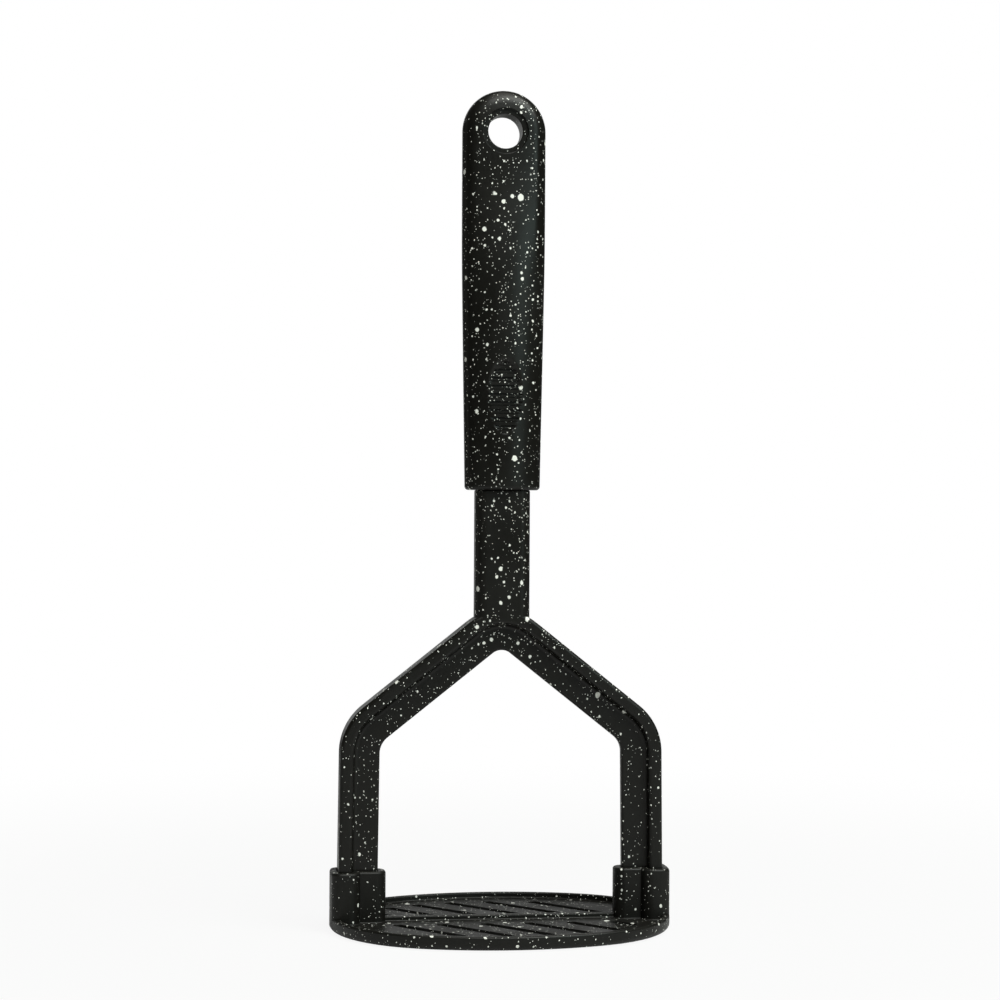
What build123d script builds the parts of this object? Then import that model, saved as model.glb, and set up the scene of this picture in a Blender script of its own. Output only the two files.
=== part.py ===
from build123d import *
import math
import os

# Potato masher: a slotted oval plate with two sockets, a forked yoke with its stem, and a hollow grip.
# Millimetres, +Z up the handle, +X through both sockets, +Y away from the side shown in front.
# The origin is the middle of the plate's flat underside.

# Mashing plate
plate_width = 110.6
plate_depth = 84.0
floor_thickness = 2.6
rim_height = 4.4
rim_thickness = 2.2
rim_lower_round = 1.8
rim_upper_round = 0.7
cross_rib_height = 4.1
cross_rib_thickness = 2.6
cross_rib_round = 0.4

# Slots of the plate
slot_width = 3.4
slot_pitch = 14.0
slot_angle = 48.0
slot_edge_distance = 10.6
slot_band_width = 18.4

# Sockets of the plate
socket_wall = 2.4
socket_height = 19.0
socket_lip_round = 0.8
arm_clearance = 0.15

# Yoke
flange_thickness = 4.4
flange_width = 10.4
flange_round = 1.2
arm_depth = 12.9
web_thickness = 3.4
web_round = 0.8
crease_round = 1.6
arm_splay = 0.5
shoulder_height = 66.1
shoulder_round = 19.5
arm_slant = 38.5
apex_round = 17.5
stem_width = 17.8
stem_depth = 10.4
stem_round = 3.6
stem_top = 141.8

# Tang, the hidden upper end of the yoke inside the handle
tang_width = 14.6
tang_depth = 7.4
tang_round = 1.0
tang_length = 101.0
tang_pocket_depth = 2.2
tang_pocket_width = 9.6
tang_rib_thickness = 2.0
tang_pocket_count = 5
tang_clearance = 0.15

# Handle
handle_length = 129.7
handle_width = 27.3
handle_foot_width = 24.6
handle_foot_round = 1.2
taper_length = 76.0
grip_thickness = 15.4
end_thickness = 11.0
hang_hole_diameter = 11.2
hang_step_diameter = 15.0
hang_step_depth = 1.5

# Thumb pad of the handle
pad_height = 25.4
pad_width = 12.4
pad_rise = 29.8
pad_depth = 2.1
pad_rib_pitch = 2.6
pad_rib_width = 1.4
pad_rib_depth = 1.2
pad_rib_gap = 0.5

# Shares of the sizes that they follow
plate_side_shares = 0.93
grip_side_shares = 0.74
end_side_shares = 0.9
thin_end_shares = 0.45

# How far a cut runs past the face that it opens
overrun = 1.0

grip_station_count = 8


def oval(half_width, half_depth, side_share, inset=0, mode=Mode.ADD):
    """Face of an oval of four tangent arcs, drawn in the sketch that is open.

    The side arcs have a radius that is a share of the half depth. The front and
    back arcs have the one radius that meets them without a corner.
    """
    side_radius = side_share * half_depth
    side_centre = half_width - side_radius
    front_radius = (side_centre**2 + half_depth**2 - side_radius**2) / (2 * (half_depth - side_radius))
    front_centre = front_radius - half_depth
    meeting = math.degrees(math.atan2(front_centre, side_centre))
    with BuildLine() as outline:
        CenterArc((side_centre, 0), side_radius - inset, -meeting, 2 * meeting)
        CenterArc((0, -front_centre), front_radius - inset, meeting, 180 - 2 * meeting)
        CenterArc((-side_centre, 0), side_radius - inset, 180 - meeting, 2 * meeting)
        CenterArc((0, front_centre), front_radius - inset, 180 + meeting, 180 - 2 * meeting)
    make_face(outline.edges(), mode=mode)


def plate_oval(inset=0, mode=Mode.ADD):
    """The plate's plan, moved in from its edge by the inset."""
    oval(plate_width / 2, plate_depth / 2, plate_side_shares, inset, mode)


def arm_section(start=0, grow=0, crease=0):
    """The arm's T: a flange whose outer face is at x = start, and a web that runs in along +x.

    Grow makes it larger all round, for the pocket and the wall around the arm.
    Crease rounds the two inner corners between the flange and the web.
    """
    with Locations((start + flange_thickness / 2, 0)):
        RectangleRounded(flange_thickness + 2 * grow, flange_width + 2 * grow, flange_round + grow)
    web_length = arm_depth - flange_thickness / 2
    with Locations((start + arm_depth - web_length / 2, 0)):
        RectangleRounded(web_length + 2 * grow, web_thickness + 2 * grow, web_round + grow)
    if crease > 0:
        corner = start + flange_thickness + grow
        side = web_thickness / 2 + grow
        fillet([vertices().sort_by_distance((corner, y))[0] for y in (side, -side)], crease)


# Places that follow from the sizes above
arm_reach = plate_width / 2 - socket_wall - arm_clearance
shoulder_reach = arm_reach - arm_splay
bend_height = socket_height + socket_lip_round
apex_height = shoulder_height + shoulder_reach * math.tan(math.radians(arm_slant))
apex_drop = apex_round * (1 / math.cos(math.radians(arm_slant)) - 1)
stem_foot = apex_height - apex_drop - flange_thickness / 2
hang_height = stem_top + handle_length - handle_width / 2
pad_centre = stem_top + pad_rise


def slot_ends():
    """Centre lines of the slots: slanted lines at an even pitch, kept clear of the rim and the rib."""
    run = Vector(math.cos(math.radians(slot_angle)), -math.sin(math.radians(slot_angle)), 0)
    with BuildSketch(mode=Mode.PRIVATE) as field:
        plate_oval(slot_edge_distance)
        Rectangle(plate_width, slot_band_width, mode=Mode.SUBTRACT)
    lines = []
    count = math.ceil(plate_width / slot_pitch / 2) + 1
    for place in range(-count, count + 1):
        middle = Vector(place * slot_pitch, 0, 0)
        whole = Line(middle - run * plate_width, middle + run * plate_width, mode=Mode.PRIVATE)
        for face in field.sketch.faces():
            for edge in (whole.edge().intersect(face) or []):
                if edge.length > slot_width:
                    lines.append((edge @ 0, edge @ 1))
    return lines


with BuildPart() as mashing_plate:
    # Oval body with its rounded edge, and the floor sunk inside the rim
    with BuildSketch():
        plate_oval()
    extrude(amount=rim_height)
    fillet(edges().group_by(Axis.Z)[0], rim_lower_round)
    fillet(edges().group_by(Axis.Z)[-1], rim_upper_round)
    with BuildSketch(Plane.XY.offset(floor_thickness)):
        plate_oval(rim_thickness)
    extrude(amount=rim_height, mode=Mode.SUBTRACT)
    # Cross rib from socket to socket
    with BuildSketch(Plane.XY.offset(floor_thickness / 2)):
        Rectangle(2 * (arm_reach - flange_thickness), cross_rib_thickness)
    extrude(amount=cross_rib_height - floor_thickness / 2)
    rib_top = edges().filter_by(Axis.X).filter_by_position(Axis.Z, cross_rib_height, cross_rib_height)
    fillet(rib_top, cross_rib_round)
    # Sockets, cut off flush with the plate's edge
    for side in (1, -1):
        with BuildSketch(Plane((0, 0, rim_lower_round), x_dir=(-side, 0, 0), z_dir=(0, 0, 1))):
            arm_section(start=-arm_reach, grow=socket_wall + arm_clearance)
            plate_oval(mode=Mode.INTERSECT)
        extrude(amount=socket_height - rim_lower_round)
    fillet(edges().group_by(Axis.Z)[-1], socket_lip_round)
    # Pockets that take the feet of the arms
    for side in (1, -1):
        with BuildSketch(Plane((0, 0, floor_thickness), x_dir=(-side, 0, 0), z_dir=(0, 0, 1))):
            arm_section(start=-arm_reach, grow=arm_clearance, crease=crease_round - arm_clearance)
        extrude(amount=socket_height, mode=Mode.SUBTRACT)
    # Slanted slots right through the floor
    with BuildSketch():
        for start, end in slot_ends():
            middle = (start + end) / 2
            with Locations(middle):
                SlotCenterToCenter((end - start).length, slot_width, rotation=-slot_angle)
    extrude(amount=floor_thickness + overrun, mode=Mode.SUBTRACT)
mashing_plate.part.label = "mashing_plate"

with BuildPart() as yoke:
    # One T-section bar bent over the plate: up from one socket, over the apex and down into the other
    with BuildLine(Plane.XZ) as bar_line:
        FilletPolyline(
            (arm_reach, floor_thickness),
            (arm_reach, bend_height),
            (shoulder_reach, shoulder_height),
            (0, apex_height),
            (-shoulder_reach, shoulder_height),
            (-arm_reach, bend_height),
            (-arm_reach, floor_thickness),
            radius=[shoulder_round, shoulder_round, apex_round, shoulder_round, shoulder_round],
        )
    with BuildSketch(Plane((arm_reach, 0, floor_thickness), x_dir=(-1, 0, 0), z_dir=(0, 0, 1))):
        arm_section(crease=crease_round)
    sweep(path=bar_line.wire())
    # Stem that stands on the apex
    with BuildSketch(Plane.XY.offset(stem_foot)):
        RectangleRounded(stem_width, stem_depth, stem_round)
    extrude(amount=stem_top - stem_foot)
    # Tang with a row of sunk pockets on both faces, as a moulded core has
    with BuildSketch(Plane.XY.offset(stem_top)):
        RectangleRounded(tang_width, tang_depth, tang_round)
    extrude(amount=tang_length)
    pocket_pitch = (tang_length - tang_rib_thickness) / tang_pocket_count
    for side in (1, -1):
        with BuildSketch(Plane.XZ.offset(side * (tang_depth / 2 + overrun))):
            with Locations((0, stem_top + tang_length / 2)):
                with GridLocations(pocket_pitch, pocket_pitch, 1, tang_pocket_count):
                    RectangleRounded(tang_pocket_width, pocket_pitch - tang_rib_thickness, tang_round)
        extrude(amount=-side * (tang_pocket_depth + overrun), mode=Mode.SUBTRACT)
yoke.part.label = "yoke"

with BuildPart() as handle:
    # Grip: ovals that widen up the taper and thin towards the hanging end
    for station in range(grip_station_count + 1):
        along = station / grip_station_count
        rise = along * (hang_height - stem_top)
        taper = max(0, 1 - rise / taper_length)
        width = handle_width - (handle_width - handle_foot_width) * taper
        thinning = max(0, along - thin_end_shares) / (1 - thin_end_shares)
        ease = (1 - math.cos(math.pi * thinning)) / 2
        thickness = grip_thickness - (grip_thickness - end_thickness) * ease
        side_share = grip_side_shares + (end_side_shares - grip_side_shares) * ease
        with BuildSketch(Plane.XY.offset(stem_top + rise)):
            oval(width / 2, thickness / 2, side_share)
    loft()
    fillet(edges().group_by(Axis.Z)[0], handle_foot_round)
    # Round end: half of the last oval turned about the hanging hole's axis
    with BuildSketch(Plane.XY.offset(hang_height)):
        oval(handle_width / 2, end_thickness / 2, end_side_shares)
        with Locations((-handle_width / 2, 0)):
            Rectangle(handle_width, end_thickness + overrun, mode=Mode.SUBTRACT)
    revolve(axis=Axis((0, 0, hang_height), (0, -1, 0)), revolution_arc=180)
    # Hanging hole with a shallow step round it on both faces
    with Locations(Location((0, 0, hang_height), (90, 0, 0))):
        Cylinder(hang_hole_diameter / 2, grip_thickness, mode=Mode.SUBTRACT)
    step_floor = end_thickness / 2 - hang_step_depth
    for side in (1, -1):
        with BuildSketch(Plane.XZ.offset(side * step_floor)):
            with Locations((0, hang_height)):
                Circle(hang_step_diameter / 2)
        extrude(amount=side * grip_thickness, mode=Mode.SUBTRACT)
    # Pocket for the tang
    with BuildSketch(Plane.XY.offset(stem_top)):
        RectangleRounded(
            tang_width + 2 * tang_clearance, tang_depth + 2 * tang_clearance, tang_round + tang_clearance
        )
    extrude(amount=tang_length, mode=Mode.SUBTRACT)
    # Thumb pad: a sunk upright oval on the front with level ribs across it
    with BuildSketch(Plane.XZ.offset(grip_thickness / 2 - pad_depth)):
        with Locations((0, pad_centre)):
            Ellipse(pad_width / 2, pad_height / 2)
    extrude(amount=grip_thickness / 2, mode=Mode.SUBTRACT)
    rib_count = 2 * math.floor((pad_height / 2 - pad_rib_gap) / pad_rib_pitch) + 1
    with BuildSketch(Plane.XZ.offset(grip_thickness / 2 - pad_depth - overrun)):
        with Locations((0, pad_centre)):
            with GridLocations(0, pad_rib_pitch, 1, rib_count):
                Rectangle(pad_width, pad_rib_width)
            Ellipse(pad_width / 2, pad_height / 2, mode=Mode.INTERSECT)
    extrude(amount=overrun + pad_depth - pad_rib_depth)
handle.part.label = "handle"

os.makedirs("parts", exist_ok=True)
export_step(mashing_plate.part, "parts/mashing_plate.step")
export_step(yoke.part, "parts/yoke.step")
export_step(handle.part, "parts/handle.step")
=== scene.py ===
import logging
import math
from collections.abc import Sequence
from dataclasses import dataclass, field
from enum import Enum

import bmesh
import bpy
import numpy as np
from mathutils import Matrix, Vector


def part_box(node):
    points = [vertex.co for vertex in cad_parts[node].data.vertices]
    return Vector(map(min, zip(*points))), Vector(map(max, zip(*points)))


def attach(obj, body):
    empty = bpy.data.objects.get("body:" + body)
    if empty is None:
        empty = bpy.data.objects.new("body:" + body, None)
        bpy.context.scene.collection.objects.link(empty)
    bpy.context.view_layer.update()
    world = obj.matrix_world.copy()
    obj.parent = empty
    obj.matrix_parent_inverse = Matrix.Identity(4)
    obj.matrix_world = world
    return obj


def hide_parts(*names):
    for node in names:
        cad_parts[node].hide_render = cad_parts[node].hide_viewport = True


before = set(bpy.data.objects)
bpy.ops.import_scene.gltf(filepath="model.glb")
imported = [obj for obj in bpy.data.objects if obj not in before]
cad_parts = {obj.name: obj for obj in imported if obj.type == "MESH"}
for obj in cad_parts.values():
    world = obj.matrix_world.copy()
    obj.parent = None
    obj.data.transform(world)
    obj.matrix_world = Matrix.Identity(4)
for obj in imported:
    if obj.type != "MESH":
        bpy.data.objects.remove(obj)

MM = 0.001
MERGE_DISTANCE = 1e-4
ROUND_STEPS = 96
Skin = tuple[np.ndarray, list[list[int]]]
Colour = tuple[float, float, float]
log = logging.getLogger("masher")


class Join(Enum):
    """How one closed shape is put together with another."""

    ADD = "UNION"
    CUT = "DIFFERENCE"


# --- Skins ---


def skin(rings: np.ndarray) -> Skin:
    """Skin over a stack of rings: point (i, j) joins (i + 1, j) and (i, j + 1), and j runs round.

    Args:
        rings: Points as stack, around, xyz. Each ring runs anticlockwise seen from the stack's end.

    Returns:
        The points, and the faces as lists of point numbers. The last two are the flat ends.
    """
    stack, around = rings.shape[:2]
    number = np.arange(stack * around).reshape(stack, around)
    beside = np.roll(number, -1, axis=1)
    quads = np.stack([number[:-1], beside[:-1], beside[1:], number[1:]], axis=-1).reshape(-1, 4)
    return rings.reshape(-1, 3), [*quads.tolist(), number[0, ::-1].tolist(), number[-1].tolist()]


def sheet(points: np.ndarray) -> Skin:
    """Open skin over a grid of points, whose two sides don't meet.

    Args:
        points: Points as along, across, xyz.

    Returns:
        The points, and the faces as lists of point numbers.
    """
    along, across = points.shape[:2]
    number = np.arange(along * across).reshape(along, across)
    quads = np.stack([number[:-1, :-1], number[:-1, 1:], number[1:, 1:], number[1:, :-1]], axis=-1)
    return points.reshape(-1, 3), quads.reshape(-1, 4).tolist()


def lift(ring: np.ndarray, height: float) -> np.ndarray:
    """Flat ring of xy points put at a height, as xyz points."""
    return np.column_stack([ring, np.full(len(ring), height)])


def arc(centre: Sequence[float], radius: float, start: float, end: float, steps: int) -> np.ndarray:
    """Points of an arc: centre + radius times (cos, sin) of steps + 1 even angles, given in degrees."""
    turn = np.radians(np.linspace(start, end, steps + 1))
    return np.column_stack([centre[0] + radius * np.cos(turn), centre[1] + radius * np.sin(turn)])


def smooth_step(value: np.ndarray, start: float, end: float) -> np.ndarray:
    """Goes from 0 at start to 1 at end along t * t * (3 - 2 t), and stays level beyond them."""
    t = np.clip((value - start) / (end - start), 0, 1)
    return t * t * (3 - 2 * t)


def rounded_rectangle(width: float, depth: float, radius: float, steps: int) -> np.ndarray:
    """Ring of a rectangle about the origin with four corner arcs.

    Args:
        width: Size along x.
        depth: Size along y.
        radius: Radius of the corners.
        steps: Runs in each corner.

    Returns:
        The ring, anticlockwise.
    """
    x, y = width / 2 - radius, depth / 2 - radius
    corners = [((x, y), 0), ((-x, y), 90), ((-x, -y), 180), ((x, -y), 270)]
    return np.vstack([arc(centre, radius, turn, turn + 90, steps) for centre, turn in corners])


def rounded_stack(
    width: float, depth: float, radius: float, profile: Sequence[Sequence[float]], steps: int
) -> np.ndarray:
    """Rings of one rounded rectangle, each moved in by its inset and put at its height."""
    return np.stack([
        lift(rounded_rectangle(width - 2 * inset, depth - 2 * inset, radius - inset, steps), height)
        for inset, height in profile
    ])


def slot_ring(start: np.ndarray, end: np.ndarray, radius: float, steps: int = 12) -> np.ndarray:
    """Ring with a half circle about each end of a centre line, anticlockwise."""
    turn = math.degrees(math.atan2(*(end - start)[::-1]))
    return np.vstack([
        arc(end, radius, turn - 90, turn + 90, steps),
        arc(start, radius, turn + 90, turn + 270, steps),
    ])


def bent_line(
    corners: list[tuple[float, float]], radii: list[float], steps: int
) -> tuple[np.ndarray, np.ndarray]:
    """Line through corners, each inner one rounded by an arc that touches both its runs.

    Args:
        corners: Corner points, the two ends included.
        radii: Radius at each inner corner.
        steps: Runs in each arc.

    Returns:
        The points, and the unit direction of the line at each.
    """
    knots = np.array(corners, float)
    runs = np.diff(knots, axis=0)
    runs /= np.linalg.norm(runs, axis=1)[:, None]
    points, directions = [knots[:1]], [runs[:1]]
    for knot, before, after, radius in zip(knots[1:-1], runs[:-1], runs[1:], radii):
        turn = math.atan2(before[0] * after[1] - before[1] * after[0], before @ after)
        side = math.copysign(1, turn)
        left = np.array([-before[1], before[0]])
        centre = knot - before * radius * math.tan(abs(turn) / 2) + side * radius * left
        lean = np.linspace(0, turn, steps + 1)[:, None]
        heading = before * np.cos(lean) + left * np.sin(lean)
        points.append(centre + side * radius * np.column_stack([heading[:, 1], -heading[:, 0]]))
        directions.append(heading)
    return np.vstack([*points, knots[-1:]]), np.vstack([*directions, runs[-1:]])


# --- Putting shapes together ---


def new_object(name: str, data: bpy.types.ID) -> bpy.types.Object:
    """New object in the scene."""
    made = bpy.data.objects.new(name, data)
    bpy.context.scene.collection.objects.link(made)
    return made


def make_shape(name: str, skins: list[Skin]) -> bpy.types.Object:
    """Closed shape in millimetres, made of one or more skins whose shared edges are merged.

    Args:
        name: Name of the object.
        skins: Skins that close on themselves or on each other.

    Returns:
        The object, with its faces pointing outwards.
    """
    points = np.vstack([own for own, _ in skins])
    starts = np.cumsum([0] + [len(own) for own, _ in skins])
    faces = [[start + n for n in face] for start, (_, own) in zip(starts, skins) for face in own]
    mesh = bpy.data.meshes.new(name)
    mesh.from_pydata(points.tolist(), [], faces)
    work = bmesh.new()
    work.from_mesh(mesh)
    bmesh.ops.remove_doubles(work, verts=work.verts, dist=MERGE_DISTANCE)
    bmesh.ops.recalc_face_normals(work, faces=work.faces)
    work.to_mesh(mesh)
    work.free()
    return new_object(name, mesh)


def join(shape: bpy.types.Object, tool: bpy.types.Object, how: Join) -> None:
    """Adds a tool to a shape or cuts it out of it, and removes the tool.

    Args:
        shape: The shape, which gets the new mesh.
        tool: The closed shape that is added or cut.
        how: Which of the two.
    """
    modifier = shape.modifiers.new(how.name, "BOOLEAN")
    modifier.operation = how.value
    modifier.solver = "EXACT"
    modifier.object = tool
    bpy.context.view_layer.update()
    made = bpy.data.meshes.new_from_object(shape.evaluated_get(bpy.context.evaluated_depsgraph_get()))
    shape.modifiers.clear()
    old, shape.data = shape.data, made
    bpy.data.meshes.remove(old)
    bpy.data.meshes.remove(tool.data)


def finish_shape(shape: bpy.types.Object, finish: "SpeckledNylon", crease: float = 34) -> None:
    """Turns a shape from millimetres into metres, smooths it but for sharp edges, and dresses it.

    Args:
        shape: The shape.
        finish: What it is made of.
        crease: Least angle of a sharp edge, in degrees.
    """
    mesh = shape.data
    mesh.transform(Matrix.Scale(MM, 4))
    mesh.shade_smooth()
    mesh.set_sharp_from_angle(angle=math.radians(crease))
    weighting = shape.modifiers.new("flat_faces_first", "WEIGHTED_NORMAL")
    weighting.keep_sharp = True
    weighting.weight = 60
    mesh.materials.append(finish.material())


# --- Finishes ---

# Waves a metre of each noise: the flecks' wandering edges, how they crowd, the nylon's cloudy colour,
# the moulded grain, the slow swell of the skin, and the gloss that handling leaves.
EDGE_WAVES = 1300.0
CROWD_WAVES = 95.0
CLOUD_WAVES = 420.0
GRAIN_WAVES = 5200.0
SWELL_WAVES = 160.0
HANDLED_WAVES = 60.0

@dataclass(frozen=True)
class FleckSize:
    """One size of fleck: balls of pale nylon spread through the dark, which the surface cuts.

    Attributes:
        spacing: Mean distance between two balls, in metres.
        smallest: Least radius, in metres.
        largest: Greatest radius, in metres.
        share: Share of the places that hold a ball.
        faintest: How pale the faintest is, as a share of the palest.
    """

    spacing: float
    smallest: float
    largest: float
    share: float
    faintest: float


class Graph:
    """Node tree of one material, with short calls that add a node and wire it."""

    def __init__(self, tree: bpy.types.NodeTree) -> None:
        """Takes an empty tree."""
        self.tree = tree
        tree.nodes.clear()

    def add(self, kind: str, inputs: dict | None = None, **settings: object) -> bpy.types.Node:
        """Adds a node.

        Args:
            kind: Blender's name of the node type.
            inputs: Value or output socket for each input, by name or number.
            settings: Values of the node's own settings.

        Returns:
            The node.
        """
        node = self.tree.nodes.new(kind)
        for name, value in settings.items():
            setattr(node, name, value)
        for name, value in (inputs or {}).items():
            if isinstance(value, bpy.types.NodeSocket):
                self.tree.links.new(value, node.inputs[name])
            else:
                node.inputs[name].default_value = value
        return node

    def sum(self, operation: str, *values: object) -> bpy.types.NodeSocket:
        """Result of a Math node with these values or sockets."""
        return self.add("ShaderNodeMath", dict(enumerate(values)), operation=operation).outputs[0]

    def vector(self, operation: str, *values: object) -> bpy.types.NodeSocket:
        """Result of a Vector Math node with these vectors or sockets."""
        return self.add("ShaderNodeVectorMath", dict(enumerate(values)), operation=operation).outputs[0]

    def noise(self, place: bpy.types.NodeSocket, scale: float, detail: float = 2.0) -> bpy.types.Node:
        """Noise texture at a place, with so many waves a metre."""
        return self.add("ShaderNodeTexNoise", {"Vector": place, "Scale": scale, "Detail": detail})

    def mix(self, share: object, first: object, second: object) -> bpy.types.NodeSocket:
        """Colour between two colours, by a share."""
        node = self.add("ShaderNodeMix", {0: share, 6: first, 7: second}, data_type="RGBA")
        return node.outputs[2]

    def fit(
        self, value: object, low: object, high: object, to_low: float, to_high: float
    ) -> bpy.types.NodeSocket:
        """Value moved smoothly from one range to another, and kept inside it."""
        inputs = {"Value": value, "From Min": low, "From Max": high, "To Min": to_low, "To Max": to_high}
        return self.add("ShaderNodeMapRange", inputs, interpolation_type="SMOOTHSTEP").outputs[0]


@dataclass(frozen=True)
class SpeckledNylon:
    """Satin dark nylon with off-white flecks of several sizes all through it.

    Attributes:
        name: Name of the material.
        flecks: The sizes of fleck.
        seed: Shift of the pattern, in metres, so that no two pieces have the same one.
        density: How many flecks there are near the plate and above the apex, as shares.
        flow: Squeeze of the pattern up the piece, below 1 because the melt drew the flecks out.
        dark: Colour of the nylon.
        pale: Colour of the flecks.
        roughness: Roughness of the moulded surface.
        sheen_level: Specular level of the nylon, below the usual 0.5 because its skin is dull.
        wander: How far a fleck's edge strays from round, in metres.
        crowding: Factors on the number of flecks where they are thinnest and thickest.
        relief: Height of the moulded grain, in metres.
        skew: Power on the draw of a fleck's radius, above 1 so that small ones are commoner.
        edge: Where a fleck's edge starts and ends to fade, as shares of its radius.
    """

    name: str
    flecks: tuple[FleckSize, ...]
    seed: Colour
    density: tuple[float, float] = (0.62, 1.1)
    flow: float = 0.88
    dark: Colour = (0.0058, 0.0055, 0.0042)
    pale: Colour = (0.86, 0.86, 0.80)
    roughness: float = 0.34
    sheen_level: float = 0.28
    wander: float = 0.0005
    crowding: tuple[float, float] = (0.75, 1.2)
    relief: float = 0.00006
    skew: float = 2.2
    edge: tuple[float, float] = (0.86, 1.08)

    def material(self) -> bpy.types.Material:
        """Builds the material: dark ground, flecks over it, a fine moulded grain and uneven gloss.

        Returns:
            The material, whose pattern reads Object coordinates.
        """
        made = bpy.data.materials.new(self.name)
        made.use_nodes = True
        graph = Graph(made.node_tree)
        here = graph.add("ShaderNodeTexCoord").outputs["Object"]
        height = graph.add("ShaderNodeSeparateXYZ", {0: here}).outputs[2]
        place = graph.vector("MULTIPLY_ADD", here, (1.0, 1.0, self.flow), self.seed)
        stray = graph.noise(place, EDGE_WAVES).outputs["Color"]
        stray = graph.vector("SUBTRACT", stray, (0.5, 0.5, 0.5))
        bent = graph.vector("MULTIPLY_ADD", stray, (self.wander, self.wander, self.wander), place)
        crowd = graph.sum(
            "MULTIPLY",
            graph.fit(graph.noise(place, CROWD_WAVES, 1.0).outputs[0], 0.34, 0.62, *self.crowding),
            graph.fit(height, 0.05, 0.11, *self.density),
        )
        cover = None
        for size in self.flecks:
            spots = self.spots(graph, bent, crowd, size)
            cover = spots if cover is None else graph.sum("MAXIMUM", cover, spots)
        cloud = graph.noise(place, CLOUD_WAVES, 3.0).outputs[0]
        darker, lighter = ((*(c * factor for c in self.dark), 1) for factor in (0.82, 1.22))
        colour = graph.mix(cover, graph.mix(cloud, darker, lighter), (*self.pale, 1))
        grain = graph.noise(place, GRAIN_WAVES, 3.0).outputs[0]
        swell = graph.noise(place, SWELL_WAVES, 2.0).outputs[0]
        rough = graph.sum("ADD", graph.sum("MULTIPLY", grain, 0.35), graph.sum("MULTIPLY", swell, 1.6))
        bump = graph.add("ShaderNodeBump", {"Strength": 0.55, "Distance": self.relief, "Height": rough})
        handled = graph.fit(graph.noise(place, HANDLED_WAVES, 3.0).outputs[0], 0.3, 0.7, -0.05, 0.06)
        gloss = graph.sum("ADD", graph.sum("MULTIPLY_ADD", cover, 0.1, self.roughness), handled)
        inputs = {"Base Color": colour, "Roughness": gloss, "Normal": bump.outputs[0]}
        surface = graph.add("ShaderNodeBsdfPrincipled", inputs)
        surface.inputs["IOR"].default_value = 1.5
        surface.inputs["Specular IOR Level"].default_value = self.sheen_level
        graph.add("ShaderNodeOutputMaterial", {"Surface": surface.outputs[0]})
        return made

    def spots(self, graph: Graph, place: object, crowd: object, size: FleckSize) -> bpy.types.NodeSocket:
        """Cover of one size of fleck: 1 inside a ball whose radius its cell's colour draws, else 0.

        Args:
            graph: The material's nodes.
            place: Where the pattern is read.
            crowd: Factor that makes the flecks thicker in some places.
            size: The size of fleck.

        Returns:
            The cover, from 0 to 1.
        """
        inputs = {"Vector": place, "Scale": 1 / size.spacing, "Randomness": 1.0}
        cells = graph.add("ShaderNodeTexVoronoi", inputs)
        draw = graph.add("ShaderNodeSeparateColor", {0: cells.outputs["Color"]}).outputs
        span = (size.largest - size.smallest) / size.spacing
        least = size.smallest / size.spacing
        radius = graph.sum("MULTIPLY_ADD", graph.sum("POWER", draw[0], self.skew), span, least)
        inner, outer = (graph.sum("MULTIPLY", radius, share) for share in self.edge)
        ball = graph.fit(cells.outputs["Distance"], inner, outer, 1.0, 0.0)
        allowed = graph.sum("MULTIPLY", crowd, size.share)
        there = graph.sum("LESS_THAN", draw[1], allowed)
        bright = graph.fit(draw[2], 0.0, 0.3, size.faintest, 1.0)
        return graph.sum("MULTIPLY", graph.sum("MULTIPLY", ball, there), bright)


# --- Sections that more than one piece uses ---


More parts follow.
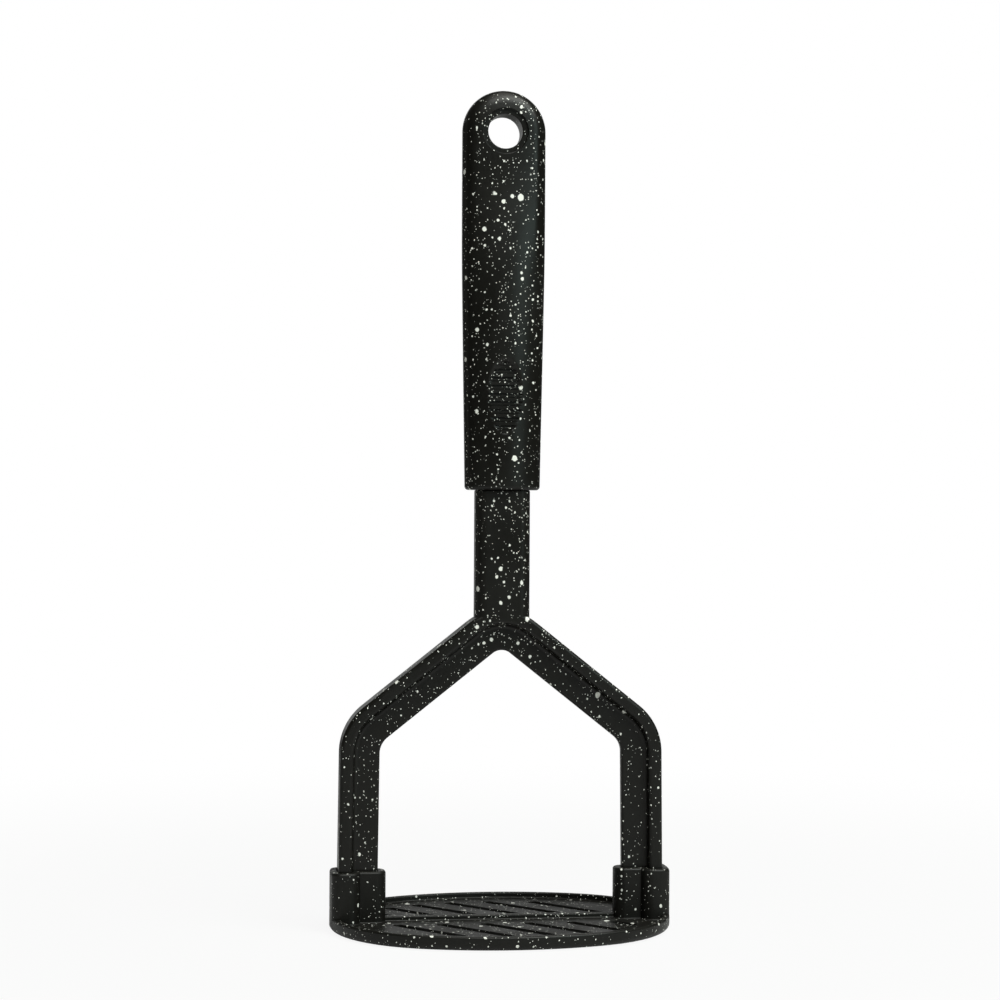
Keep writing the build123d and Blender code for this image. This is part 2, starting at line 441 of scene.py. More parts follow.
@dataclass(frozen=True)
class Oval:
    """Oval of four tangent arcs about the origin.

    Attributes:
        half_width: Half its size along x.
        half_depth: Half its size along y.
        side_share: Radius of the side arcs, as a share of the half depth.
        seam_width: Distance along the side over which a seam's ridge falls to 1 / e of its height.
        seam_crowding: Power that draws the side's points together towards its middle.
    """

    half_width: float
    half_depth: float
    side_share: float
    seam_width: float = 0.16
    seam_crowding: float = 1.7

    def arcs(self) -> tuple[float, float, float, float, float]:
        """Side radius, side centre, front radius, front centre's distance and the angle where they meet."""
        side = self.side_share * self.half_depth
        centre = self.half_width - side
        front = (centre**2 + self.half_depth**2 - side**2) / (2 * (self.half_depth - side))
        drop = front - self.half_depth
        return side, centre, front, drop, math.atan2(drop, centre)

    def ring(self, inset: float = 0, steps: int = 30, seam: float = 0) -> np.ndarray:
        """Ring that starts at the front's middle and runs by the right side, anticlockwise.

        Each half is front arc, side arc, back arc. A seam is a fine ridge at the middle of each
        side. At arc length s from there it is its height times exp(-(s / seam width)^2) high, and
        the ring sinks by the whole height, so that the ridge reaches the oval and no further.

        Args:
            inset: How far the ring is moved in.
            steps: Runs in each of the half's three arcs.
            seam: Height of the ridge.

        Returns:
            The ring, 6 * steps rows of xy.
        """
        side, centre, front, drop, meet = self.arcs()
        inset = inset + seam
        share = np.linspace(0, 1, steps + 1)[:-1]
        low = -math.pi / 2 + share * (math.pi / 2 - meet)
        swing = np.linspace(-1, 1, steps + 1)[:-1]
        turn = meet * np.sign(swing) * np.abs(swing) ** self.seam_crowding
        high = meet + share * (math.pi / 2 - meet)
        reach = side - inset + seam * np.exp(-((turn * (side - inset) / self.seam_width) ** 2))
        right = np.vstack([
            np.column_stack([(front - inset) * np.cos(low), drop + (front - inset) * np.sin(low)]),
            np.column_stack([centre + reach * np.cos(turn), reach * np.sin(turn)]),
            np.column_stack([(front - inset) * np.cos(high), -drop + (front - inset) * np.sin(high)]),
        ])
        return np.vstack([right, -right])

    def reach(self, across: np.ndarray, inset: float = 0) -> np.ndarray:
        """Half width of the oval at each y: on the side arc near the middle, else on the front arc."""
        side, centre, front, drop, meet = self.arcs()
        side, front = side - inset, front - inset
        on_side = centre + np.sqrt(np.maximum(side**2 - across**2, 0))
        on_front = np.sqrt(np.maximum(front**2 - (np.abs(across) + drop) ** 2, 0))
        return np.where(np.abs(across) <= side * math.sin(meet), on_side, on_front)


@dataclass(frozen=True)
class Tee:
    """The arms' T: a flange whose outer face is at 0, and a web that runs in from it."""

    flange_thickness: float = 4.4
    flange_width: float = 10.4
    flange_round: float = 1.2
    depth: float = 12.9
    web_thickness: float = 3.4
    web_round: float = 0.8

    def ring(self, grow: float = 0, crease: float = 1.6, steps: int = 7) -> np.ndarray:
        """Ring of the T: half of it from arc to arc, and the other half its mirror image.

        The crease's arc touches the web's side, and the flange's inner face or its corner arc.

        Args:
            grow: How much larger it is all round.
            crease: Radius of the two inner corners.
            steps: Runs in each arc.

        Returns:
            The ring, anticlockwise, with x as the way in and y across.
        """
        corner = self.flange_round + grow
        level = self.flange_width / 2 - self.flange_round
        inner = self.flange_thickness - self.flange_round
        side = self.web_thickness / 2 + grow
        rise = max(0.0, side + crease - level)
        turn = math.degrees(math.asin(rise / (corner + crease)))
        start = inner + math.sqrt((corner + crease) ** 2 - rise**2)
        tip = (self.depth - self.web_round, self.web_thickness / 2 - self.web_round)
        face = np.column_stack([np.full(5, -grow), np.linspace(0, level, 6)[:-1]])
        half = np.vstack([
            face,
            arc((self.flange_round, level), corner, 180, 90, steps),
            arc((inner, level), corner, 90, turn, steps),
            arc((start, side + crease), crease, 180 + turn, 270, steps),
            arc(tip, self.web_round + grow, 90, 0, steps),
        ])
        return np.vstack([half, half[:0:-1] * (1, -1)])[::-1]


# --- Mashing plate ---


@dataclass
class MashingPlate:
    """Oval plate with a rim, slanted slots, a cross rib and two sockets, moulded in one."""

    finish: SpeckledNylon
    plan: Oval = Oval(55.3, 42.0, 0.93)
    tee: Tee = Tee()
    floor: float = 2.6
    rim_height: float = 4.4
    rim_thickness: float = 2.2
    rim_lower_round: float = 1.8
    rim_upper_round: float = 0.7
    rim_inner_round: float = 0.45
    rib_height: float = 4.1
    rib_thickness: float = 2.6
    rib_round: float = 0.4
    slot_width: float = 3.4
    slot_pitch: float = 14.0
    slot_angle: float = 48.0
    slot_edge_distance: float = 10.6
    slot_band: float = 18.4
    slot_round: float = 0.12
    socket_wall: float = 2.4
    socket_height: float = 19.0
    socket_lip: float = 0.8
    socket_foot: float = 0.4
    socket_notch: float = 0.5
    socket_swell: float = 0.5
    pocket_crease: float = 1.6
    pocket_mouth: float = 0.35
    arm_clearance: float = 0.15
    arm_reach: float = 52.75
    flush: float = 0.004

    def body(self) -> bpy.types.Object:
        """Plate without slots: the rim's profile carried round the oval, and a flat face above and below."""
        rim, top = self.rim_thickness, self.rim_height
        low, high, inner = self.rim_lower_round, self.rim_upper_round, self.rim_inner_round
        profile = np.vstack([
            arc((low, low), low, 270, 180, 8),
            arc((high, top - high), high, 180, 90, 6),
            arc((rim - inner, top - inner), inner, 90, 0, 4),
            arc((rim + inner, self.floor + inner), inner, 180, 270, 4),
        ])
        rings = np.stack([lift(self.plan.ring(inset), height) for inset, height in profile])
        return make_shape("mashing_plate_visual", [skin(rings)])

    def rib(self) -> bpy.types.Object:
        """Cross rib: one section with rounded top edges and a hollow foot, run from socket to socket."""
        half, soft = self.rib_thickness / 2, self.rib_round
        side = np.vstack([
            [(half + soft, self.floor / 2)],
            arc((half + soft, self.floor + soft), soft, 270, 180, 4),
            arc((half - soft, self.rib_height - soft), soft, 0, 90, 4),
        ])
        section = np.vstack([side, side[::-1] * (-1, 1)])
        reach = self.arm_reach - self.tee.depth - self.arm_clearance - self.socket_wall / 2
        ends = [np.column_stack([np.full(len(section), x), section]) for x in (-reach, reach)]
        return make_shape("rib", [skin(np.stack(ends))])

    def socket_ring(self, side: int, grow: float, height: float) -> np.ndarray:
        """Ring round an arm's foot at a height, held inside the plate's edge.

        The two cheeks beside the web swell by a parabola that is 0 at both their ends.

        Args:
            side: 1 for the socket at +X, -1 for the other.
            grow: Distance from the arm's own surface.
            height: Height of the ring.

        Returns:
            The ring as xyz points.
        """
        full = self.socket_wall + self.arm_clearance
        tee = self.tee.ring(grow, crease=self.socket_notch + full - grow)
        start, end = self.tee.flange_thickness + full, self.tee.depth
        swell = 1 - np.clip(np.abs(2 * (tee[:, 0] - start) / (end - start) - 1), 0, 1) ** 2
        tee[:, 1] += self.socket_swell * swell * np.sign(tee[:, 1])
        edge = self.plan.reach(tee[:, 1], self.flush + max(0.0, full - grow))
        reach = np.minimum(self.arm_reach - tee[:, 0], edge)
        return lift(np.column_stack([side * reach, -side * tee[:, 1]]), height)

    def socket(self, side: int) -> bpy.types.Object:
        """Outside of a socket: rings up from inside the floor, with a hollow foot and a rounded lip."""
        full, foot, lip = self.socket_wall + self.arm_clearance, self.socket_foot, self.socket_lip
        profile = np.vstack([
            [(full + foot, self.floor / 2)],
            arc((full + foot, self.floor + foot), foot, 270, 180, 4),
            arc((full - lip, self.socket_height - lip), lip, 0, 90, 6),
        ])
        rings = np.stack([self.socket_ring(side, grow, height) for grow, height in profile])
        return make_shape("socket", [skin(rings)])

    def pockets(self) -> bpy.types.Object:
        """Both pockets for the arms' feet, flared by a quarter circle at the mouth."""
        soft, top, gap = self.pocket_mouth, self.socket_height, self.arm_clearance
        profile = np.vstack([
            [(gap, self.floor)],
            arc((gap + soft, top - soft), soft, 180, 90, 4),
            [(gap + soft, top + 1)],
        ])
        return make_shape("pockets", [
            skin(np.stack([self.pocket_ring(side, grow, height) for grow, height in profile]))
            for side in (1, -1)
        ])

    def pocket_ring(self, side: int, grow: float, height: float) -> np.ndarray:
        """Ring of a pocket: the arm's T, larger by the clearance and the mouth's flare."""
        tee = self.tee.ring(grow, crease=self.pocket_crease - grow)
        return lift(np.column_stack([side * (self.arm_reach - tee[:, 0]), -side * tee[:, 1]]), height)

    def slot_lines(self) -> list[tuple[np.ndarray, np.ndarray]]:
        """Ends of each slot's centre line: where slanted lines at an even pitch run clear of rim and rib.

        Each line is sampled every 0.01 mm. The samples inside the inset oval and outside the rib's
        band make one run in front and one behind, and a run's first and last samples are the ends.
        A run no longer than a slot is wide gets no slot.

        Returns:
            The two ends of each slot, as xy points.
        """
        turn = math.radians(self.slot_angle)
        run = np.array([math.cos(turn), -math.sin(turn)])
        along = np.linspace(-80, 80, 16001)
        count = math.ceil(self.plan.half_width / self.slot_pitch) + 1
        depth = self.plan.half_depth - self.slot_edge_distance
        lines = []
        for number in range(-count, count + 1):
            points = np.array([number * self.slot_pitch, 0.0]) + along[:, None] * run
            inside = np.abs(points[:, 0]) < self.plan.reach(points[:, 1], self.slot_edge_distance)
            inside &= np.abs(points[:, 1]) < depth
            for side in (1, -1):
                kept = points[inside & (side * points[:, 1] > self.slot_band / 2)]
                if len(kept) and np.linalg.norm(kept[-1] - kept[0]) > self.slot_width:
                    lines.append((kept[0], kept[-1]))
        return lines

    def slots(self) -> bpy.types.Object:
        """All slots: round-ended rings down through the floor, wider where they meet its two faces."""
        half, soft, top = self.slot_width / 2, self.slot_round, self.floor
        profile = np.vstack([
            [(half + soft, -1.0)],
            arc((half + soft, soft), soft, 270, 180, 4),
            arc((half + soft, top - soft), soft, 180, 90, 4),
            [(half + soft, top + 1.5)],
        ])
        return make_shape("slots", [
            skin(np.stack([lift(slot_ring(start, end, radius), height) for radius, height in profile]))
            for start, end in self.slot_lines()
        ])

    def build(self) -> bpy.types.Object:
        """Joins the plate's parts, cuts its pockets and slots, and dresses it."""
        plate = self.body()
        join(plate, self.rib(), Join.ADD)
        join(plate, self.socket(1), Join.ADD)
        join(plate, self.socket(-1), Join.ADD)
        join(plate, self.pockets(), Join.CUT)
        join(plate, self.slots(), Join.CUT)
        finish_shape(plate, self.finish)
        return plate


# --- Yoke ---


@dataclass
class Yoke:
    """Forked T-section bar with its stem, and the tang that goes up inside the handle."""

    finish: SpeckledNylon
    tee: Tee = Tee()
    foot: float = 2.6
    arm_reach: float = 52.75
    arm_splay: float = 0.5
    bend_height: float = 19.8
    shoulder_height: float = 66.1
    shoulder_round: float = 19.5
    arm_slant: float = 38.5
    apex_round: float = 17.5
    stem_width: float = 17.8
    stem_depth: float = 10.4
    stem_round: float = 3.6
    stem_top: float = 141.8
    stem_top_round: float = 0.5
    tang_width: float = 14.6
    tang_depth: float = 7.4
    tang_round: float = 1.0
    tang_length: float = 101.0
    tang_end_round: float = 0.6
    tang_pocket_depth: float = 2.2
    tang_pocket_width: float = 9.6
    tang_rib: float = 2.0
    tang_pockets: int = 5

    @property
    def apex(self) -> float:
        """Height where the two slants' outer faces would meet."""
        reach = self.arm_reach - self.arm_splay
        return self.shoulder_height + reach * math.tan(math.radians(self.arm_slant))

    def bar(self) -> bpy.types.Object:
        """T-section carried along the bent line from one foot over the apex to the other."""
        reach = self.arm_reach - self.arm_splay
        side = [
            (self.arm_reach, self.foot),
            (self.arm_reach, self.bend_height),
            (reach, self.shoulder_height),
        ]
        corners = [*side, (0.0, self.apex), *((-x, z) for x, z in reversed(side))]
        turned = self.shoulder_round
        points, ways = bent_line(corners, [turned, turned, self.apex_round, turned, turned], 22)
        inward = np.column_stack([-ways[:, 1], ways[:, 0]])
        section = self.tee.ring()
        x = points[:, :1] + inward[:, :1] * section[:, 0]
        z = points[:, 1:] + inward[:, 1:] * section[:, 0]
        y = np.broadcast_to(section[:, 1], x.shape)
        return make_shape("yoke_visual", [skin(np.stack([x, y, z], axis=-1))])

    def stem(self) -> bpy.types.Object:
        """Stem: one rounded rectangle run up from inside the apex, with its top edge rounded."""
        drop = self.apex_round * (1 / math.cos(math.radians(self.arm_slant)) - 1)
        start = self.apex - drop - self.tee.flange_thickness / 2
        soft = self.stem_top_round
        profile = np.vstack([[(0.0, start)], arc((soft, self.stem_top - soft), soft, 180, 90, 5)])
        rings = rounded_stack(self.stem_width, self.stem_depth, self.stem_round, profile, 10)
        return make_shape("stem", [skin(rings)])

    def tang(self) -> bpy.types.Object:
        """Tang: one rounded rectangle from inside the stem's top to its own end, whose edge is rounded."""
        end, soft = self.stem_top + self.tang_length, self.tang_end_round
        profile = np.vstack([[(0.0, self.stem_top - 2)], arc((soft, end - soft), soft, 180, 90, 3)])
        rings = rounded_stack(self.tang_width, self.tang_depth, self.tang_round, profile, 4)
        return make_shape("tang", [skin(rings)])

    def tang_hollows(self) -> bpy.types.Object:
        """The row of sunk pockets on both faces of the tang, as straight rounded prisms."""
        pitch = (self.tang_length - self.tang_rib) / self.tang_pockets
        ring = rounded_rectangle(self.tang_pocket_width, pitch - self.tang_rib, self.tang_round, 4)
        face = self.tang_depth / 2
        skins = []
        for number in range(self.tang_pockets):
            middle = self.stem_top + self.tang_length / 2 + (number - (self.tang_pockets - 1) / 2) * pitch
            up = ring[:, 1] + middle
            for side in (1, -1):
                ends = (side * (face - self.tang_pocket_depth), side * (face + 1))
                rings = [np.column_stack([ring[:, 0], np.full(len(ring), y), up]) for y in ends]
                skins.append(skin(np.stack(rings)))
        return make_shape("tang_hollows", skins)

    def build(self) -> bpy.types.Object:
        """Joins bar, stem and tang, sinks the tang's pockets, and dresses the yoke."""
        yoke = self.bar()
        join(yoke, self.stem(), Join.ADD)
        join(yoke, self.tang(), Join.ADD)
        join(yoke, self.tang_hollows(), Join.CUT)
        finish_shape(yoke, self.finish)
        return yoke


# --- Handle ---


@dataclass
class Handle:
    """Hollow grip with a round hanging end and a ribbed thumb pad in front."""

    finish: SpeckledNylon
    foot: float = 141.8
    length: float = 129.7
    width: float = 27.3
    foot_width: float = 24.6
    foot_round: float = 1.2
    taper_length: float = 76.0
    taper_round: float = 0.12
    thickness: float = 15.4
    end_thickness: float = 11.0
    thin_end_share: float = 0.45
    grip_share: float = 0.74
    end_share: float = 0.9
    hole: float = 11.2
    step: float = 15.0
    step_depth: float = 1.2
    hole_round: float = 0.3
    hole_turn: float = 0.016
    seam: float = 0.05
    side_steps: int = 36
    pad_rise: float = 29.8
    pad_height: float = 25.4
    pad_width: float = 12.4
    pad_reach: float = 0.56
    pad_edge: tuple[float, float] = (1.05, 0.78)
    pad_sink: tuple[float, float] = (0.1, 1.5)
    rib_pitch: float = 2.6
    groove_rise: float = 1.07
    groove: tuple[float, float] = (0.8, 0.5)
    groove_between: tuple[float, float] = (0.3, 0.22)
    between_drop: float = 0.98
    groove_flank: float = 0.08
    groove_end: tuple[float, float] = (0.96, 0.86)
    tang: tuple[float, float, float] = (14.6, 7.4, 1.0)
    tang_length: float = 101.0
    tang_clearance: float = 0.15
    mouth_flare: float = 0.4
    mouth_depth: float = 0.6

    @property
    def hang(self) -> float:
        """Height of the hanging hole's axis."""
        return self.foot + self.length - self.width / 2

    def section(self, rise: float) -> Oval:
        """Oval of the grip at a height above its foot.

        The width grows along the taper, by a ramp whose end is rounded. The thickness and the
        sides' share change by half a cosine wave over the upper part.

        Args:
            rise: Height above the foot.

        Returns:
            The oval.
        """
        ramp = 1 - rise / self.taper_length
        taper = (ramp + math.hypot(ramp, self.taper_round)) / 2
        width = self.width - (self.width - self.foot_width) * min(1.0, taper)
        along = rise / (self.hang - self.foot)
        thin = max(0.0, along - self.thin_end_share) / (1 - self.thin_end_share)
        ease = (1 - math.cos(math.pi * thin)) / 2
        thickness = self.thickness - (self.thickness - self.end_thickness) * ease
        return Oval(width / 2, thickness / 2, self.grip_share + (self.end_share - self.grip_share) * ease)

    def shell(self) -> bpy.types.Object:
        """Grip's outside: ovals stacked from the foot up, then half of the last one turned over the top.

        Over the thumb pad the ovals lie on the grooves' edges and halfway between them.
        """
        rounded = arc((self.foot_round, self.foot_round), self.foot_round, 270, 180, 7)
        reach = self.pad_height * self.pad_reach
        low, high = self.pad_rise - reach, self.pad_rise + reach
        edges, _ = self.groove_profile()
        fine = np.sort(np.concatenate([edges[:-1], (edges[:-1] + edges[1:]) / 2]))
        count = math.ceil(reach / self.rib_pitch)
        lines = self.pad_rise + self.groove_rise + self.rib_pitch * np.arange(-count - 1, count + 1)
        over_pad = (lines[:, None] + fine).ravel()
        rises = np.concatenate([
            np.linspace(self.foot_round, low, 12)[1:-1],
            over_pad[(over_pad > low) & (over_pad < high)],
            np.linspace(high, self.hang - self.foot, 60)[1:],
        ])
        rings = [
            lift(self.section(rise).ring(inset, self.side_steps, self.seam), self.foot + rise)
            for inset, rise in [*rounded, *((0.0, rise) for rise in rises)]
        ]
        points, faces = skin(self.press_pad(np.stack(rings)))
        last = self.section(self.hang - self.foot).ring(0, self.side_steps, self.seam)
        half = np.vstack([last[: len(last) // 2], last[len(last) // 2]])
        turn = np.linspace(0, math.pi, ROUND_STEPS + 1)[:, None]
        dome = [
            half[:, 0] * np.cos(turn),
            np.broadcast_to(half[:, 1], (len(turn), len(half))),
            self.hang + half[:, 0] * np.sin(turn),
        ]
        return make_shape("handle_visual", [(points, faces[:-1]), sheet(np.stack(dome, axis=-1))])

    def hole_tool(self) -> bpy.types.Object:
        """Hanging hole and the step round it: a profile of radius and depth turned about the hole's axis.

        The turn starts a little past level, so that no edge of the tool lies on an edge of the grip.
        """
        step, bore, soft = self.step / 2, self.hole / 2, self.hole_round
        floor = self.end_thickness / 2 - self.step_depth
        side = np.vstack([
            [(step, self.thickness)],
            arc((step - soft, floor + soft), soft, 0, -90, 3),
            arc((bore + soft, floor - soft), soft, 90, 180, 4),
        ])
        profile = np.vstack([side, side[::-1] * (1, -1)])
        turn = np.linspace(0, 2 * math.pi, ROUND_STEPS + 1)[:-1] + self.hole_turn
        radius = profile[:, :1]
        rings = [
            radius * np.cos(turn),
            np.broadcast_to(profile[:, 1:], (len(profile), len(turn))),
            self.hang + radius * np.sin(turn),
        ]
        return make_shape("hole", [skin(np.stack(rings, axis=-1))])

    def groove_profile(self) -> tuple[np.ndarray, np.ndarray]:
        """Depth of the grooves over one pitch: a wide deep one at its start, and a narrow shallow one.

        Returns:
            Heights above the deep groove's middle, from 0 to the pitch, and the depth at each.
        """
        wide, deep = self.groove
        narrow, shallow = self.groove_between
        middle = self.rib_pitch - self.between_drop
        slope = self.groove_flank
        low, high, last = middle - narrow / 2, middle + narrow / 2, self.rib_pitch - wide / 2
        heights = [
            *(0.0, wide / 2 - slope, wide / 2),
            *(low, low + slope, high - slope, high),
            *(last, last + slope, self.rib_pitch),
        ]
        depths = [deep, deep, 0.0, 0.0, shallow, shallow, 0.0, 0.0, deep, deep]
        return np.array(heights), np.array(depths)

    def press_pad(self, rings: np.ndarray) -> np.ndarray:
        """Thumb pad: the front surface, drawn towards a grooved plane within an upright ellipse.

        With rho as the distance from the pad's middle, measured in half widths across and half
        heights up, a point's depth goes from the grip's own to the pad's by a smooth step between
        the two rhos of the pad's edge. The pad's depth is a plane that leans in towards its upper
        end. The grooves are cut below it, and fade out between the two rhos of their end.

        Args:
            rings: Points of the grip as stack, around, xyz.

        Returns:
            The points with the pad pressed in.
        """
        x, y, z = rings[..., 0], rings[..., 1], rings[..., 2] - self.foot - self.pad_rise
        rho = np.hypot(x / (self.pad_width / 2), z / (self.pad_height / 2))
        groove = np.interp((z - self.groove_rise) % self.rib_pitch, *self.groove_profile())
        sink = self.pad_sink[0] + (self.pad_sink[1] - self.pad_sink[0]) * (0.5 + z / self.pad_height)
        pad = sink - self.thickness / 2 + groove * smooth_step(rho, *self.groove_end)
        share = np.where(y < 0, smooth_step(rho, *self.pad_edge), 0)
        rings[..., 1] = y + share * (np.maximum(y, pad) - y)
        return rings

    def pocket(self) -> bpy.types.Object:
        """Pocket for the tang: a rounded rectangle run up from the foot, eased at the mouth."""
        width, depth, corner = self.tang
        gap, mouth = self.tang_clearance, self.tang_clearance + self.mouth_flare
        profile = [
            (-mouth, self.foot - 1.0),
            (-mouth, self.foot),
            (-gap, self.foot + self.mouth_depth),
            (-gap, self.foot + self.tang_length),
        ]
        return make_shape("pocket", [skin(rounded_stack(width, depth, corner, profile, 5))])

    def build(self) -> bpy.types.Object:
        """Cuts the hanging hole and the tang's pocket out of the grip, and dresses the handle."""
        grip = self.shell()
        join(grip, self.hole_tool(), Join.CUT)
        join(grip, self.pocket(), Join.CUT)
        finish_shape(grip, self.finish)
        return grip


# --- Studio ---


@dataclass(frozen=True)
class Lamp:
    """Soft rectangular lamp that looks at the masher.

    Attributes:
        name: Name of the lamp.
        azimuth: Where it stands, in degrees from the front towards +X.
        elevation: Its height above level, in degrees.
        distance: Distance from the middle of the masher, in metres.
        size: Width and height, in metres.
        radiance: How bright its face is, where 1 is white.
        tint: Its colour.
    """

    name: str
    azimuth: float
    elevation: float
    distance: float
    size: tuple[float, float]
    radiance: float
    tint: Colour


@dataclass
class Studio:
    """Pale floor and backdrop, soft lamps, and the camera at the photograph's place.

    Attributes:
        distance: From the masher's axis to the camera, in metres.
        azimuth: Where the camera stands, in degrees from the front towards +X.
        eye_height: Height of the camera, in metres.
        lens: Focal length, in millimetres.
        middle: What the lamps look at.
        roll: Roll of the camera, in degrees.
        aim: How far the camera looks past the axis, in degrees.
        room: Strength of the dim world that the masher sees.
        floor_level: Height of the floor, in metres.
        fade: Distances over which the shadow on the floor fades out, in metres.
        lamps: The lamps.
    """

    distance: float = 0.760
    azimuth: float = -7.3
    eye_height: float = 0.1386
    lens: float = 84.2
    middle: Vector = field(default_factory=lambda: Vector((0, 0, 0.136)))
    roll: float = -0.31
    aim: float = 0.05
    room: float = 0.038
    floor_level: float = -0.0002
    fade: tuple[float, float] = (0.1, 0.5)
    lamps: tuple[Lamp, ...] = (
        Lamp("key", 35.5, 27, 1.5, (0.52, 1.3), 2.15, (0.76, 1.0, 0.96)),
        Lamp("wing", 12, 27, 1.5, (0.8, 1.1), 0.24, (0.92, 1.0, 0.98)),
        Lamp("high", 30, 56, 1.4, (1.4, 0.9), 6.2, (0.98, 1.0, 0.95)),
        Lamp("edge", -110, 10, 1.3, (0.35, 1.2), 0.3, (1.0, 0.97, 0.88)),
        Lamp("top", 60, 82, 1.4, (1.0, 1.0), 1.6, (1.0, 0.98, 0.92)),
        Lamp("under", 180, -58, 1.2, (1.0, 1.0), 1.2, (1.0, 1.0, 1.0)),
    )

    def camera(self) -> None:
        """Camera at the photograph's distance, level but for its roll, that looks at the masher's axis."""
        data = bpy.data.cameras.new("camera")
        data.lens = self.lens
        data.sensor_width = 36
        data.clip_start, data.clip_end = 0.01, 20
        seen = new_object("camera", data)
        turn = math.radians(self.azimuth)
        seen.location = (self.distance * math.sin(turn), -self.distance * math.cos(turn), self.eye_height)
        seen.rotation_euler = (math.pi / 2, math.radians(self.roll), turn + math.radians(self.aim))
        bpy.context.scene.camera = seen

    def light(self) -> None:
        """Hangs the lamps and sets the world: dim for the masher, white where the camera sees it."""
        for lamp in self.lamps:
            data = bpy.data.lights.new(lamp.name, "AREA")
            data.shape = "RECTANGLE"
            data.size, data.size_y = lamp.size
            data.energy = math.pi * lamp.radiance * lamp.size[0] * lamp.size[1]
            data.color = lamp.tint
            hung = new_object(lamp.name, data)
            turn, rise = math.radians(lamp.azimuth), math.radians(lamp.elevation)
            away = Vector((math.sin(turn) * math.cos(rise), -math.cos(turn) * math.cos(rise), math.sin(rise)))
            hung.location = self.middle + away * lamp.distance
            hung.rotation_euler = away.to_track_quat("Z", "Y").to_euler()
        world = bpy.data.worlds.new("studio")
        world.use_nodes = True
        bpy.context.scene.world = world
        graph = Graph(world.node_tree)
        ray = graph.add("ShaderNodeLightPath").outputs["Is Camera Ray"]
        dim = graph.add("ShaderNodeBackground", {"Color": (0.95, 0.98, 1.0, 1), "Strength": self.room})
        white = graph.add("ShaderNodeBackground", {"Color": (1, 1, 1, 1), "Strength": 1.0})
        shown = graph.add("ShaderNodeMixShader", {0: ray, 1: dim.outputs[0], 2: white.outputs[0]})
        graph.add("ShaderNodeOutputWorld", {"Surface": shown.outputs[0]})

    def paper(self, name: str, shade: float, mirrored: float, paleness: float) -> bpy.types.Material:
        """Pale paper that looks white to the camera and keeps a soft shadow.

        It is clear from behind, and lamp light passes through it.

        Args:
            name: Name of the material.
            shade: Share of its look that comes from the light on it, near the masher.
            mirrored: How far it looks white in reflections too.
            paleness: Share of the light that it throws back.

        Returns:
            The material.
        """
        made = bpy.data.materials.new(name)
        made.use_nodes = True
        graph = Graph(made.node_tree)
        rays = graph.add("ShaderNodeLightPath").outputs
        seen = graph.sum("MAXIMUM", rays["Is Camera Ray"], rays["Is Transmission Ray"])
        seen = graph.sum("MAXIMUM", seen, graph.sum("MULTIPLY", rays["Is Glossy Ray"], mirrored))
        here = graph.add("ShaderNodeTexCoord").outputs["Object"]
        away = graph.add("ShaderNodeVectorMath", {0: here}, operation="LENGTH")
        glow_share = graph.fit(away.outputs["Value"], *self.fade, 1 - shade, 1.0)
        matt = graph.add("ShaderNodeBsdfDiffuse", {"Color": (paleness, paleness, paleness, 1)})
        glow = graph.add("ShaderNodeEmission", {"Color": (1, 1, 1, 1), "Strength": 1.0})
        shares = {0: graph.sum("MULTIPLY", seen, glow_share), 1: matt.outputs[0], 2: glow.outputs[0]}
        shown = graph.add("ShaderNodeMixShader", shares)
        behind = graph.add("ShaderNodeNewGeometry").outputs["Backfacing"]
        open_way = graph.sum("MAXIMUM", behind, rays["Is Shadow Ray"])
        clear = graph.add("ShaderNodeBsdfTransparent")
        sided = graph.add("ShaderNodeMixShader", {0: open_way, 1: shown.outputs[0], 2: clear.outputs[0]})
        graph.add("ShaderNodeOutputMaterial", {"Surface": sided.outputs[0]})
        return made

    def floor(self) -> None:
        """Pale floor with a soft shadow, its far part that is dark in reflections, and the backdrop."""
        level = self.floor_level
        for name, shade, mirrored, paleness, low, high in (
            ("floor", 0.1, 0.2, 0.55, (-0.7, -0.9, level), (0.7, 0.5, level)),
            ("far_floor", 0.1, 0.0, 0.06, (-0.7, 0.5, level), (0.7, 1.6, level)),
            ("backdrop", 0.0, 0.32, 0.55, (-0.8, 1.6, -0.5), (0.8, 1.6, 1.2)),
        ):
            corners = [low, (high[0], low[1], low[2]), high, (low[0], high[1], high[2])]
            mesh = bpy.data.meshes.new(name)
            mesh.from_pydata(corners, [], [[0, 1, 2, 3]])
            mesh.materials.append(self.paper(name, shade, mirrored, paleness))
            put = new_object(name, mesh)

    def build(self) -> None:
        """Sets up camera, lamps and floor."""
        self.camera()
        self.light()
        self.floor()
        bpy.context.scene.view_settings.view_transform = "Standard"


FLECKS = (
    FleckSize(0.00084, 0.00009, 0.00022, 0.66, 0.7),
    FleckSize(0.0019, 0.00019, 0.00039, 0.66, 0.9),
    FleckSize(0.0037, 0.00034, 0.00074, 0.50, 1.0),
    FleckSize(0.0075, 0.00065, 0.00110, 0.50, 1.0),
)


def place(piece: bpy.types.Object, node: str, slot: str) -> None:
    """Puts a piece in the shared frame in place of its CAD node, and reports it.

    Args:
        piece: The finished piece.
        node: The node that it stands for.
        slot: The record's slot for the piece's finish; not used.
    """
    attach(piece, "root")
    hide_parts(node)
    low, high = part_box(node)
    points = np.array([v.co for v in piece.data.vertices])
    triangles = sum(len(face.vertices) - 2 for face in piece.data.polygons)
    spans, node_spans = np.round(np.ptp(points, axis=0), 5), np.round(high - low, 5)
    log.info("%s: %d triangles, spans %s, node spans %s", piece.name, triangles, spans, node_spans)


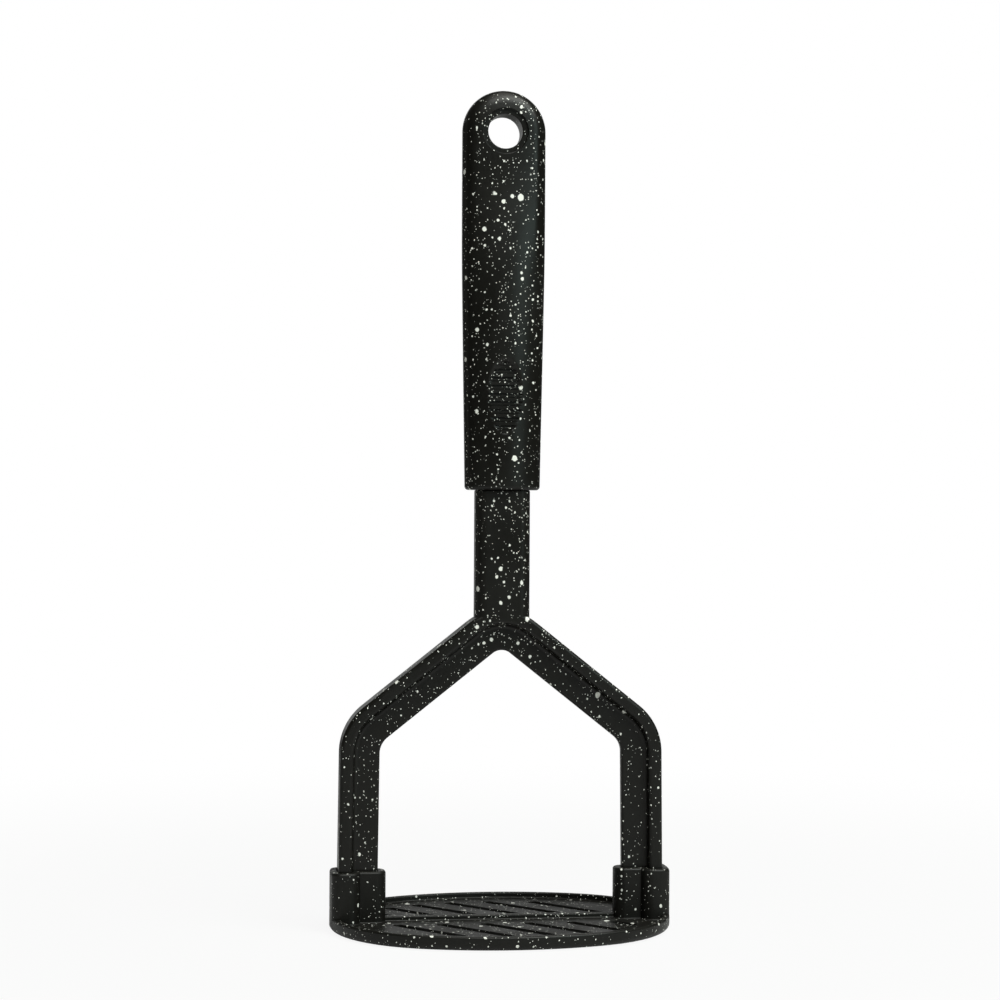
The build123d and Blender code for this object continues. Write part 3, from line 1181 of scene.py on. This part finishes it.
def main() -> None:
    """Builds the masher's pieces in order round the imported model, and the studio."""
    logging.basicConfig(level=logging.INFO, format="%(message)s")
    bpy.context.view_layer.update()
    head = SpeckledNylon("head_nylon", FLECKS, (0.31, 0.12, 0.07), density=(0.8, 1.1), roughness=0.44)
    yoke = SpeckledNylon("yoke_nylon", FLECKS, (0.53, 0.41, 0.19), density=(0.55, 1.5))
    grip = SpeckledNylon("grip_nylon", FLECKS, (0.73, 0.61, 0.37))
    place(MashingPlate(head).build(), "mashing_plate", "head_nylon")
    place(Yoke(yoke).build(), "yoke", "yoke_nylon")
    place(Handle(grip).build(), "handle", "grip_nylon")
    Studio().build()


if __name__ == "__main__":
    main()
